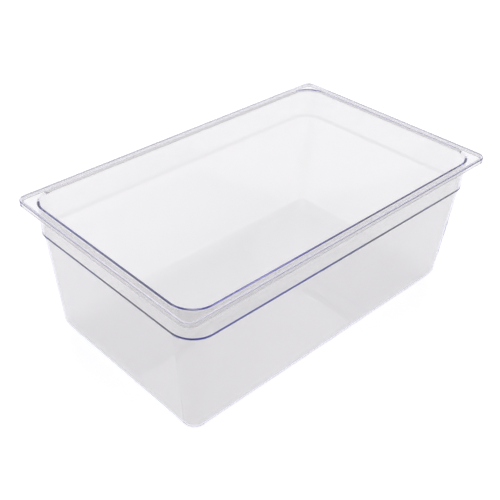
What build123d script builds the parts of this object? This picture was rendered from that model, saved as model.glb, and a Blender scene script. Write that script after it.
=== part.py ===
"""Full-size gastronorm food pan, 200 mm deep, injection moulded in one piece of clear polycarbonate.

The frame is in millimetres with +Z up. The origin is the middle of the underside, and the long side is along X.
An inset is a distance in from the flange's outer edge, so one section describes the wall all the way round.
"""

import math
import os

from build123d import *

# The flange, which sets the pan's overall size
LENGTH = 530.0
WIDTH = 325.0
HEIGHT = 200.0
FLANGE_CORNER_RADIUS = 12.0
PLATE = 3.0
TOP_EDGE_ROUND = 1.0

# The lip turned down round the flange
LIP_DEPTH = 7.3
LIP_THICKNESS = 3.0
RECESS_CORNER_RADIUS = 10.0
LIP_FOOT_ROUND = 0.3
LIP_ROOT_ROUND = 1.0

# The wall, whose roundings share one vertical axis at each corner and which stands further in at the short ends
WALL = 3.0
CORNER_CENTRE_INSET = 42.2
END_EXTRA_INSET = 1.3
COLLAR_TOP_INSET = 9.2
COLLAR_DRAFT = 0.7
COLLAR_ROOT_ROUND = 1.5
OPENING_ROUND = 3.0

# The shoulder, where the wall steps in below the collar
SHOULDER_TOP = 157.3
SHOULDER_FOOT = 153.6
LEDGE_RISE = 1.8
SHOULDER_ROUND = 0.4

# The tapered body and the floor
BODY_FOOT_INSET = 25.5
BODY_DRAFT = 5.07
FLOOR = 3.0
FOOT_ROUND = 17.4
FLOOR_ROUND = 14.4

PLATE_UNDERSIDE = HEIGHT - PLATE
LIP_FOOT = HEIGHT - LIP_DEPTH
# The wall's section carries the flange out to this inset, where the separate flange ring takes over.
FLANGE_JOINT_INSET = 7.0
SHARP = 0.0


def collar_outside(height):
    return COLLAR_TOP_INSET + (PLATE_UNDERSIDE - height) * math.tan(math.radians(COLLAR_DRAFT))


def collar_inside(height):
    return collar_outside(height) + WALL / math.cos(math.radians(COLLAR_DRAFT))


def body_outside(height):
    return BODY_FOOT_INSET - height * math.tan(math.radians(BODY_DRAFT))


def body_inside(height):
    return body_outside(height) + WALL / math.cos(math.radians(BODY_DRAFT))


def wall_section():
    """Make the section from the foot up to the flange as a face, with X measured out from a corner's axis."""
    ledge_top = SHOULDER_TOP + LEDGE_RISE
    ledge_foot = SHOULDER_FOOT + LEDGE_RISE
    corners = [
        (CORNER_CENTRE_INSET, 0, SHARP),
        (BODY_FOOT_INSET, 0, FOOT_ROUND),
        (body_outside(SHOULDER_FOOT), SHOULDER_FOOT, SHOULDER_ROUND),
        (collar_outside(SHOULDER_TOP), SHOULDER_TOP, SHOULDER_ROUND),
        (COLLAR_TOP_INSET, PLATE_UNDERSIDE, COLLAR_ROOT_ROUND),
        (FLANGE_JOINT_INSET, PLATE_UNDERSIDE, SHARP),
        (FLANGE_JOINT_INSET, HEIGHT, SHARP),
        (collar_inside(HEIGHT), HEIGHT, OPENING_ROUND),
        (collar_inside(ledge_top), ledge_top, SHOULDER_ROUND),
        (body_inside(ledge_foot), ledge_foot, SHOULDER_ROUND),
        (body_inside(FLOOR), FLOOR, FLOOR_ROUND),
        (CORNER_CENTRE_INSET, FLOOR, SHARP),
    ]
    points = [(CORNER_CENTRE_INSET - inset, 0, height) for inset, height, _ in corners]
    rounds = [rounding for _, _, rounding in corners]
    return make_face(FilletPolyline(*points, radius=rounds, close=True))


def wall():
    """Carry the section round the pan: a quarter turn at each corner and a straight run on each side."""
    face = wall_section()
    half_length = LENGTH / 2 - CORNER_CENTRE_INSET - END_EXTRA_INSET
    half_width = WIDTH / 2 - CORNER_CENTRE_INSET
    quarter = revolve(face, Axis.Z, 90)
    end_run = Pos(half_length, -half_width, 0) * extrude(face, amount=2 * half_width, dir=(0, 1, 0))
    side_run = Pos(half_width, -half_length, 0) * extrude(face, amount=2 * half_length, dir=(0, 1, 0))
    ring = [
        Pos(half_length, half_width, 0) * quarter,
        Pos(-half_length, half_width, 0) * Rot(0, 0, 90) * quarter,
        Pos(-half_length, -half_width, 0) * Rot(0, 0, 180) * quarter,
        Pos(half_length, -half_width, 0) * Rot(0, 0, 270) * quarter,
    ]
    ring += [Rot(0, 0, turn) * end_run for turn in (0, 180)]
    ring += [Rot(0, 0, turn) * side_run for turn in (90, 270)]
    return ring


def floor():
    """Make the flat floor inside the rounded foot."""
    length = LENGTH - 2 * (CORNER_CENTRE_INSET + END_EXTRA_INSET)
    width = WIDTH - 2 * CORNER_CENTRE_INSET
    return Pos(0, 0, FLOOR / 2) * Box(length, width, FLOOR)


def flange():
    """Make the flange ring with its lip: a slab, hollowed from below and opened where the wall joins it."""
    outline = Pos(0, 0, LIP_FOOT) * RectangleRounded(LENGTH, WIDTH, FLANGE_CORNER_RADIUS)
    slab = extrude(outline, amount=LIP_DEPTH)
    slab = fillet(slab.faces().sort_by(Axis.Z)[-1].edges(), TOP_EDGE_ROUND)
    slab = fillet(slab.faces().sort_by(Axis.Z)[0].edges(), LIP_FOOT_ROUND)

    recess_length = LENGTH - 2 * LIP_THICKNESS
    recess_width = WIDTH - 2 * LIP_THICKNESS
    recess_outline = Pos(0, 0, LIP_FOOT) * RectangleRounded(recess_length, recess_width, RECESS_CORNER_RADIUS)
    recess = extrude(recess_outline, amount=LIP_DEPTH - PLATE)
    recess = fillet(recess.faces().sort_by(Axis.Z)[-1].edges(), LIP_ROOT_ROUND)

    opening_length = LENGTH - 2 * (FLANGE_JOINT_INSET + END_EXTRA_INSET)
    opening_width = WIDTH - 2 * FLANGE_JOINT_INSET
    opening_radius = CORNER_CENTRE_INSET - FLANGE_JOINT_INSET
    opening_outline = RectangleRounded(opening_length, opening_width, opening_radius)
    opening = extrude(Pos(0, 0, PLATE_UNDERSIDE) * opening_outline, amount=PLATE)

    ring = slab - recess
    foot_inner_edges = ring.faces().sort_by(Axis.Z)[0].inner_wires()[0].edges()
    ring = fillet(foot_inner_edges, LIP_FOOT_ROUND)
    return ring - opening


def pan():
    pieces = [floor(), flange(), *wall()]
    return (pieces[0] + pieces[1:]).clean()


os.makedirs("parts", exist_ok=True)
solid = pan()
export_step(solid, "parts/pan.step")
print("pan volume", round(solid.volume), "mm3, solids", len(solid.solids()), "faces", len(solid.faces()))
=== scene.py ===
import math

import bpy
from mathutils import Matrix, Vector


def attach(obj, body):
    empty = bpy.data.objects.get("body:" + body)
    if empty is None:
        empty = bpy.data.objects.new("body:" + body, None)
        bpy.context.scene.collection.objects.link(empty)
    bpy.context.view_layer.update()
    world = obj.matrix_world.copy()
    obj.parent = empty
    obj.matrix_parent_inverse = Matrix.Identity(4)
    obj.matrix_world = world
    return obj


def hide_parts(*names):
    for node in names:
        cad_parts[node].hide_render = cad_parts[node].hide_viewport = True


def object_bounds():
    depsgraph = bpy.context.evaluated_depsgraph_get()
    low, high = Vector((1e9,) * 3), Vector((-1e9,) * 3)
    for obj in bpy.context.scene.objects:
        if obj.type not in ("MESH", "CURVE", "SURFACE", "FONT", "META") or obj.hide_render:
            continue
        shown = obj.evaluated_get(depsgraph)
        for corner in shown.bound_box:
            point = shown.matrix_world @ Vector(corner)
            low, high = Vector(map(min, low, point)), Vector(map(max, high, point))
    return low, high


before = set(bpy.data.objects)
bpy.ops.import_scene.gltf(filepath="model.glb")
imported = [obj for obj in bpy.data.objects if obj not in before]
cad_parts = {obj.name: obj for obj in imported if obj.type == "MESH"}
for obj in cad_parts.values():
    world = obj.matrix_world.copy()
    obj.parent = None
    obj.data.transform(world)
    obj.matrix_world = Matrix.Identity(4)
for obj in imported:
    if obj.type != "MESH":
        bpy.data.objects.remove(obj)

MM = 0.001

# The pan's section, in millimetres. An inset is measured in from the flange's outer edge,
# and a height up from the underside.
PLATE = 3.0
FLANGE_CORNER_RADIUS = 12.0
LIP_DEPTH = 7.3
LIP_THICKNESS = 3.0
RECESS_CORNER_RADIUS = 10.0
WALL = 3.0
CORNER_CENTRE_INSET = 42.2
END_EXTRA_INSET = 1.3
COLLAR_TOP_INSET = 9.2
COLLAR_DRAFT = 0.7
SHOULDER_TOP = 157.3
SHOULDER_FOOT = 153.6
LEDGE_RISE = 1.8
BODY_FOOT_INSET = 25.5
BODY_DRAFT = 5.07
FLOOR = 3.0

# The roundings along the section
TOP_EDGE_ROUND = 1.0
LIP_FOOT_ROUND = 0.3
LIP_ROOT_ROUND = 1.0
COLLAR_ROOT_ROUND = 1.5
OPENING_ROUND = 3.0
SHOULDER_ROUND = 0.4
FOOT_ROUND = 17.4
FLOOR_ROUND = 14.4

# How finely the curved parts and the straight runs are cut
CORNER_STEPS = 28
ROUND_STEPS = 8
WIDE_ROUND = 5.0
WIDE_ROUND_STEPS = 24
LONG_SIDE_STEPS = 24
END_STEPS = 14

# Polycarbonate: a little light is lost at each surface, and red and green fade on the way through the plastic
SURFACE_COLOR = (0.85, 0.844, 0.808, 1)
REFRACTIVE_INDEX = 1.585
DEPTH_COLOR = (0.25, 0.21, 0.92, 1)
DEPTH_DENSITY = 18.0
RIPPLE_SCALE = 22.0
RIPPLE_DETAIL = 1.5
RIPPLE_STRENGTH = 0.5
RIPPLE_HEIGHT = 0.3 * MM
SCUFF_SCALE = 14.0
SCUFF_DETAIL = 6.0
SCUFF_START = 0.5
SCUFF_FULL = 0.75
SCUFF_ROUGHNESS = 0.08

# The white sweep that the pan stands on
SWEEP_SIDE = 30.0
SWEEP_GAP = 0.4 * MM
SWEEP_WHITE = 0.9
SWEEP_GLOW = 0.82

# The studio's brightness against the upward part of a direction: 0 at the horizon, 1 overhead
STUDIO_STOPS = [(0.0, 1.0), (0.12, 0.85), (0.2, 0.85), (0.36, 0.05), (0.78, 0.05), (0.93, 0.5)]
DARK_BAND = 0.1
DARK_BAND_BLUE = 0.04

# A soft panel high up behind the pan: it brightens from edge to core, by the dot product with its direction
PANEL_DIRECTION = (0.557, 0.600, 0.574)
PANEL_EDGE = 0.88
PANEL_CORE = 0.95
PANEL_BRIGHTNESS = 1.1

# The camera, aimed from a point near the pan's middle
AZIMUTH, ELEVATION, ROLL = -42.862, 35.132, 0.694
DISTANCE = 1117.85 * MM
TARGET_RIGHT, TARGET_UP = -51.40 * MM, -13.41 * MM
LENS = 59.32
SENSOR = 36.0
SHIFT_RIGHT = 0.0569

# Light runs a long way inside clear plastic before it leaves it.
MOST_BOUNCES = 320

low_corner, high_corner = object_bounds()
LENGTH = (high_corner.x - low_corner.x) / MM
WIDTH = (high_corner.y - low_corner.y) / MM
HEIGHT = (high_corner.z - low_corner.z) / MM
PLATE_UNDERSIDE = HEIGHT - PLATE


def collar_outside(height):
    return COLLAR_TOP_INSET + (PLATE_UNDERSIDE - height) * math.tan(math.radians(COLLAR_DRAFT))


def collar_inside(height):
    return collar_outside(height) + WALL / math.cos(math.radians(COLLAR_DRAFT))


def body_outside(height):
    return BODY_FOOT_INSET - height * math.tan(math.radians(BODY_DRAFT))


def body_inside(height):
    return body_outside(height) + WALL / math.cos(math.radians(BODY_DRAFT))


def section_corners():
    """List (inset, height, rounding, corner centre's inset) up the outside, over the flange and back in."""
    lip_foot = HEIGHT - LIP_DEPTH
    ledge_top = SHOULDER_TOP + LEDGE_RISE
    ledge_foot = SHOULDER_FOOT + LEDGE_RISE
    wall = CORNER_CENTRE_INSET
    flange = FLANGE_CORNER_RADIUS
    recess = LIP_THICKNESS + RECESS_CORNER_RADIUS
    return [
        (CORNER_CENTRE_INSET, 0, 0, wall),
        (BODY_FOOT_INSET, 0, FOOT_ROUND, wall),
        (body_outside(SHOULDER_FOOT), SHOULDER_FOOT, SHOULDER_ROUND, wall),
        (collar_outside(SHOULDER_TOP), SHOULDER_TOP, SHOULDER_ROUND, wall),
        (COLLAR_TOP_INSET, PLATE_UNDERSIDE, COLLAR_ROOT_ROUND, wall),
        (LIP_THICKNESS, PLATE_UNDERSIDE, LIP_ROOT_ROUND, recess),
        (LIP_THICKNESS, lip_foot, LIP_FOOT_ROUND, recess),
        (0, lip_foot, LIP_FOOT_ROUND, flange),
        (0, HEIGHT, TOP_EDGE_ROUND, flange),
        (collar_inside(HEIGHT), HEIGHT, OPENING_ROUND, wall),
        (collar_inside(ledge_top), ledge_top, SHOULDER_ROUND, wall),
        (body_inside(ledge_foot), ledge_foot, SHOULDER_ROUND, wall),
        (body_inside(FLOOR), FLOOR, FLOOR_ROUND, wall),
        (CORNER_CENTRE_INSET, FLOOR, 0, wall),
    ]


def rounded_section(corners):
    """Round the corners off. List (inset, height, normal's inset and height parts, corner centre's inset)."""
    rings = []
    for before, corner, after in zip(corners, corners[1:], corners[2:]):
        inset, height, rounding, centre = corner
        here = Vector((inset, height))
        back = (Vector(before[:2]) - here).normalized()
        ahead = (Vector(after[:2]) - here).normalized()
        half = back.angle(ahead) / 2
        reach = rounding / math.tan(half)
        middle = here + (back + ahead).normalized() * rounding / math.sin(half)
        start = here + back * reach - middle
        end = here + ahead * reach - middle
        turn = start.angle_signed(end)
        # The path has the plastic on its left, so a left turn is an outside corner.
        outward = 1 if back.x * ahead.y > back.y * ahead.x else -1
        steps = WIDE_ROUND_STEPS if rounding > WIDE_ROUND else ROUND_STEPS
        for k in range(steps + 1):
            spoke = Matrix.Rotation(-turn * k / steps, 2) @ start
            point = middle + spoke
            normal = spoke.normalized() * outward
            rings.append((point.x, point.y, normal.x, normal.y, centre))
    return rings


def ring_points(inset, centre):
    """List (x, y, angle outwards) round the pan at one level, anticlockwise from the end of the +X side."""
    radius = centre - inset
    half_length = LENGTH / 2 - centre
    half_width = WIDTH / 2 - centre
    if centre == CORNER_CENTRE_INSET:
        half_length -= END_EXTRA_INSET
    corners = [
        (half_length, half_width),
        (-half_length, half_width),
        (-half_length, -half_width),
        (half_length, -half_width),
    ]
    points = []
    for turn, (x, y) in enumerate(corners):
        for k in range(CORNER_STEPS + 1):
            angle = math.radians(90 * (turn + k / CORNER_STEPS))
            points.append((x + radius * math.cos(angle), y + radius * math.sin(angle), angle))
        next_x, next_y = corners[(turn + 1) % 4]
        side_angle = math.radians(90 * (turn + 1))
        steps = LONG_SIDE_STEPS if turn % 2 == 0 else END_STEPS
        for k in range(1, steps):
            share = k / steps
            run_x = x + (next_x - x) * share
            run_y = y + (next_y - y) * share
            points.append((
                run_x + radius * math.cos(side_angle),
                run_y + radius * math.sin(side_angle),
                side_angle,
            ))
    return points


def pan_mesh():
    """Make the closed shell with smooth normals taken from the section itself."""
    rings = rounded_section(section_corners())
    vertices, normals, faces = [], [], []
    for inset, height, normal_in, normal_up, centre in rings:
        for x, y, angle in ring_points(inset, centre):
            vertices.append((x * MM, y * MM, height * MM))
            normal = Vector((-normal_in * math.cos(angle), -normal_in * math.sin(angle), normal_up))
            normals.append(normal.normalized())
    count = len(vertices) // len(rings)
    for level in range(len(rings) - 1):
        for k in range(count):
            a = level * count + k
            b = level * count + (k + 1) % count
            faces.append((a, b, b + count, a + count))
    underside = range(count)
    floor_top = range(len(vertices) - count, len(vertices))
    faces += [tuple(reversed(underside)), tuple(floor_top)]
    mesh = bpy.data.meshes.new("pan_shell")
    mesh.from_pydata(vertices, [], faces)
    mesh.validate()
    mesh.polygons.foreach_set("use_smooth", [True] * len(mesh.polygons))
    mesh.normals_split_custom_set_from_vertices(normals)
    return mesh


def add_noise(nodes, links, scale, detail):
    """Add a noise texture that is fixed to the object, and return its strength."""
    place = nodes.new("ShaderNodeTexCoord")
    noise = nodes.new("ShaderNodeTexNoise")
    noise.inputs["Scale"].default_value = scale
    noise.inputs["Detail"].default_value = detail
    links.new(place.outputs["Object"], noise.inputs["Vector"])
    return noise.outputs["Fac"]


def moulded_ripple(nodes, links):
    """Return a normal with the faint long waves of a moulded surface."""
    bump = nodes.new("ShaderNodeBump")
    bump.inputs["Strength"].default_value = RIPPLE_STRENGTH
    bump.inputs["Distance"].default_value = RIPPLE_HEIGHT
    links.new(add_noise(nodes, links, RIPPLE_SCALE, RIPPLE_DETAIL), bump.inputs["Height"])
    return bump.outputs["Normal"]


def handling_scuffs(nodes, links):
    """Return a roughness that is nothing on most of the plastic and slight in worn patches."""
    amount = nodes.new("ShaderNodeMapRange")
    amount.inputs["From Min"].default_value = SCUFF_START
    amount.inputs["From Max"].default_value = SCUFF_FULL
    amount.inputs["To Max"].default_value = SCUFF_ROUGHNESS
    links.new(add_noise(nodes, links, SCUFF_SCALE, SCUFF_DETAIL), amount.inputs["Value"])
    return amount.outputs["Result"]


def clear_polycarbonate():
    material = bpy.data.materials.new("clear_polycarbonate")
    material.use_nodes = True
    nodes, links = material.node_tree.nodes, material.node_tree.links
    shader = nodes["Principled BSDF"]
    shader.inputs["Base Color"].default_value = SURFACE_COLOR
    shader.inputs["IOR"].default_value = REFRACTIVE_INDEX
    shader.inputs["Transmission Weight"].default_value = 1.0
    links.new(moulded_ripple(nodes, links), shader.inputs["Normal"])
    links.new(handling_scuffs(nodes, links), shader.inputs["Roughness"])
    depth = nodes.new("ShaderNodeVolumeAbsorption")
    depth.inputs["Color"].default_value = DEPTH_COLOR
    depth.inputs["Density"].default_value = DEPTH_DENSITY
    links.new(depth.outputs["Volume"], nodes["Material Output"].inputs["Volume"])
    return material


def white_sweep():
    material = bpy.data.materials.new("white_sweep")
    material.use_nodes = True
    shader = material.node_tree.nodes["Principled BSDF"]
    shader.inputs["Base Color"].default_value = (SWEEP_WHITE, SWEEP_WHITE, SWEEP_WHITE, 1)
    shader.inputs["Roughness"].default_value = 1.0
    shader.inputs["Specular IOR Level"].default_value = 0.0
    shader.inputs["Emission Color"].default_value = (1, 1, 1, 1)
    shader.inputs["Emission Strength"].default_value = SWEEP_GLOW
    return material


def add_pan():
    pan = bpy.data.objects.new("pan_shell", pan_mesh())
    pan.data.materials.append(clear_polycarbonate())
    bpy.context.scene.collection.objects.link(pan)
    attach(pan, "root")
    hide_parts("pan")


def add_sweep():
    half = SWEEP_SIDE / 2
    mesh = bpy.data.meshes.new("sweep")
    corners = [(-half, -half, 0), (half, -half, 0), (half, half, 0), (-half, half, 0)]
    mesh.from_pydata(corners, [], [(0, 1, 2, 3)])
    mesh.materials.append(white_sweep())
    sweep = bpy.data.objects.new("sweep", mesh)
    sweep.location.z = -SWEEP_GAP
    bpy.context.scene.collection.objects.link(sweep)


def add_ramp(nodes, stops):
    """Add a colour ramp through (place, colour) stops."""
    node = nodes.new("ShaderNodeValToRGB")
    elements = node.color_ramp.elements
    elements.remove(elements[1])
    for k, (place, color) in enumerate(stops):
        stop = elements[0] if k == 0 else elements.new(place)
        stop.position = place
        stop.color = (*color, 1)
    return node


def studio_color(brightness):
    """Return a grey, or a faintly blue one in the dark band."""
    blue = DARK_BAND_BLUE if brightness < DARK_BAND else 0
    return brightness, brightness, brightness + blue


def add_studio():
    world = bpy.data.worlds.new("studio")
    world.use_nodes = True
    bpy.context.scene.world = world
    nodes, links = world.node_tree.nodes, world.node_tree.links
    direction = nodes.new("ShaderNodeTexCoord")

    upward = nodes.new("ShaderNodeSeparateXYZ")
    links.new(direction.outputs["Generated"], upward.inputs[0])
    bands = add_ramp(nodes, [(place, studio_color(brightness)) for place, brightness in STUDIO_STOPS])
    links.new(upward.outputs["Z"], bands.inputs[0])

    towards_panel = nodes.new("ShaderNodeVectorMath")
    towards_panel.operation = "DOT_PRODUCT"
    towards_panel.inputs[1].default_value = PANEL_DIRECTION
    links.new(direction.outputs["Generated"], towards_panel.inputs[0])
    panel = add_ramp(nodes, [(PANEL_EDGE, (0, 0, 0)), (PANEL_CORE, (PANEL_BRIGHTNESS,) * 3)])
    links.new(towards_panel.outputs["Value"], panel.inputs[0])

    both = nodes.new("ShaderNodeVectorMath")
    both.operation = "ADD"
    links.new(bands.outputs["Color"], both.inputs[0])
    links.new(panel.outputs["Color"], both.inputs[1])
    links.new(both.outputs["Vector"], nodes["Background"].inputs["Color"])


def add_camera():
    azimuth, elevation, roll = (math.radians(angle) for angle in (AZIMUTH, ELEVATION, ROLL))
    back = Vector((
        math.sin(azimuth) * math.cos(elevation),
        -math.cos(azimuth) * math.cos(elevation),
        math.sin(elevation),
    ))
    level_right = Vector((0, 0, 1)).cross(back).normalized()
    level_up = back.cross(level_right)
    right = math.cos(roll) * level_right + math.sin(roll) * level_up
    up = back.cross(right)
    middle = Vector((0, 0, HEIGHT * MM / 2))
    place = middle + right * TARGET_RIGHT + up * TARGET_UP + back * DISTANCE
    camera = bpy.data.objects.new("camera", bpy.data.cameras.new("camera"))
    camera.data.sensor_width = SENSOR
    camera.data.lens = LENS
    camera.data.shift_x = SHIFT_RIGHT
    camera.matrix_world = Matrix.Translation(place) @ Matrix((right, up, back)).transposed().to_4x4()
    bpy.context.scene.collection.objects.link(camera)
    bpy.context.scene.camera = camera


def set_scene():
    scene = bpy.context.scene
    scene.view_settings.view_transform = "Standard"
    scene.cycles.max_bounces = MOST_BOUNCES
    scene.cycles.transmission_bounces = MOST_BOUNCES
    scene.cycles.glossy_bounces = MOST_BOUNCES


add_pan()
add_sweep()
add_studio()
add_camera()
set_scene()
